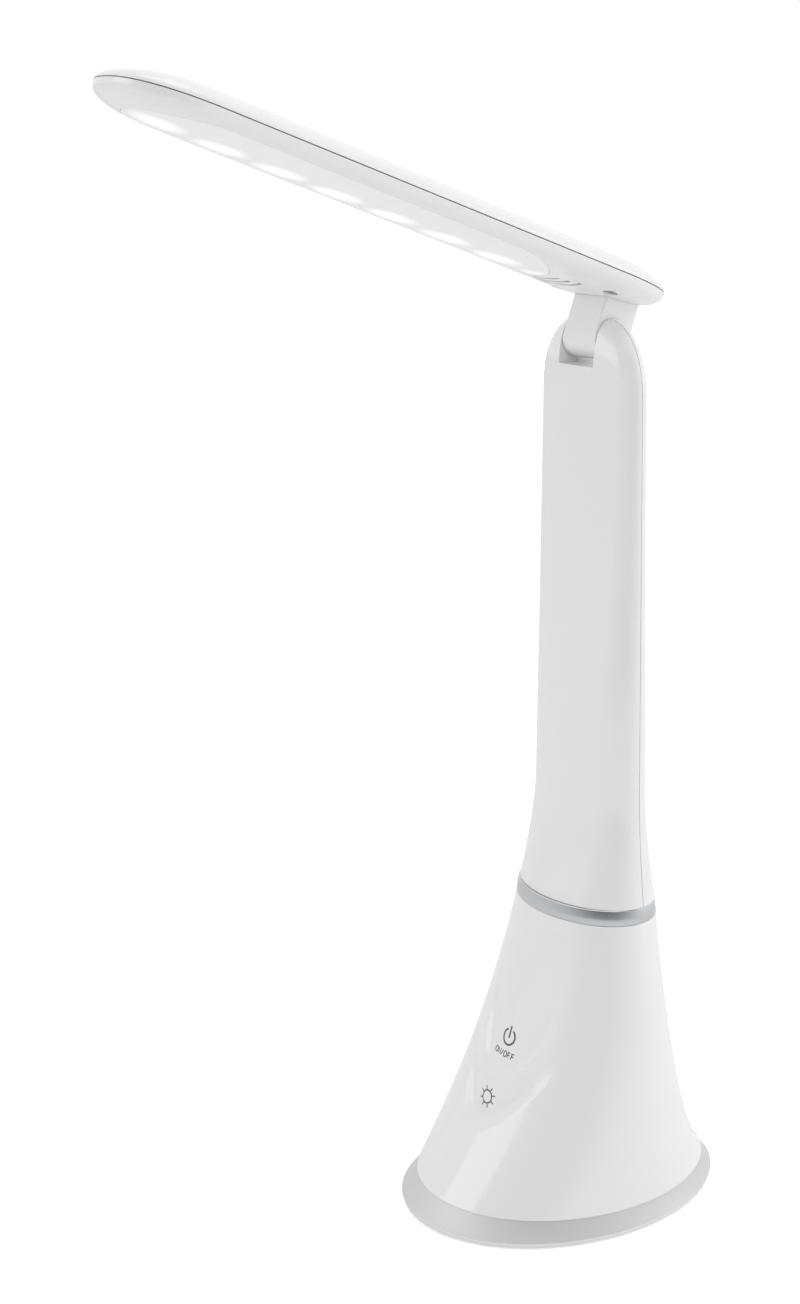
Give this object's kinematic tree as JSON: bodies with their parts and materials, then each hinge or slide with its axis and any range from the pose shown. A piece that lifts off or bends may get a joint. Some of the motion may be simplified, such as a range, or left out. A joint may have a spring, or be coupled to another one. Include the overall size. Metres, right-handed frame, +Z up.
{
  "type": "folding led desk lamp",
  "caption": "Desk lamp with a flared oval foot, a thin wide arm and a long flat lamp head that tilts in the fork at the arm's top and folds down in front of it.",
  "frame": {"origin": "the point of the table straight below the middle of the hinge pin, on the underside of the rubber pad", "axes": "+Z up from the table, -Y towards the front, where the head points and the touch marks are, +X along the hinge"},
  "size_m": [0.0782, 0.1811, 0.3214],
  "materials": {
    "white_shell": "glossy white moulding",
    "silver_trim": "metallised silver, lightly brushed",
    "rubber": "matte",
    "steel": "zinc plated",
    "dark_plastic": "matte",
    "cell_can": "film wrapped",
    "board": "satin solder mask",
    "opal_window": "opal, lit from behind",
    "reflector": "white",
    "led_board": "white coated",
    "lamps": "phosphor, lit"
  },
  "bodies": {
    "stand": {"foot_plate": "white_shell", "foot_pad": "rubber", "base_screws": "steel", "foot_trim": "silver_trim", "base_shell": "white_shell", "neck_ring": "silver_trim", "ballast_plate": "steel", "battery_holder": "dark_plastic", "battery_cell": "cell_can", "driver_board": "board", "charge_socket": "steel", "touch_board": "board", "arm_front_shell": "white_shell", "arm_back_shell": "white_shell", "arm_screws": "steel", "arm_lead": "rubber", "hinge_pin": "steel", "hinge_nut": "steel", "spring_washers": "steel", "friction_washers": "dark_plastic"},
    "head": {"hinge_neck": "white_shell", "neck_screws": "steel", "head_lower_shell": "white_shell", "head_upper_shell": "white_shell", "diffuser": "opal_window", "reflector": "reflector", "led_board": "led_board", "leds": "lamps", "board_screws": "steel"}
  },
  "joints": [
    {"name": "head_tilt", "type": "hinge", "parent": "stand", "child": "head", "pos_m": [0, 0, 0.25], "axis": [1, 0, 0], "range_deg": [-70, 107]}
  ]
}
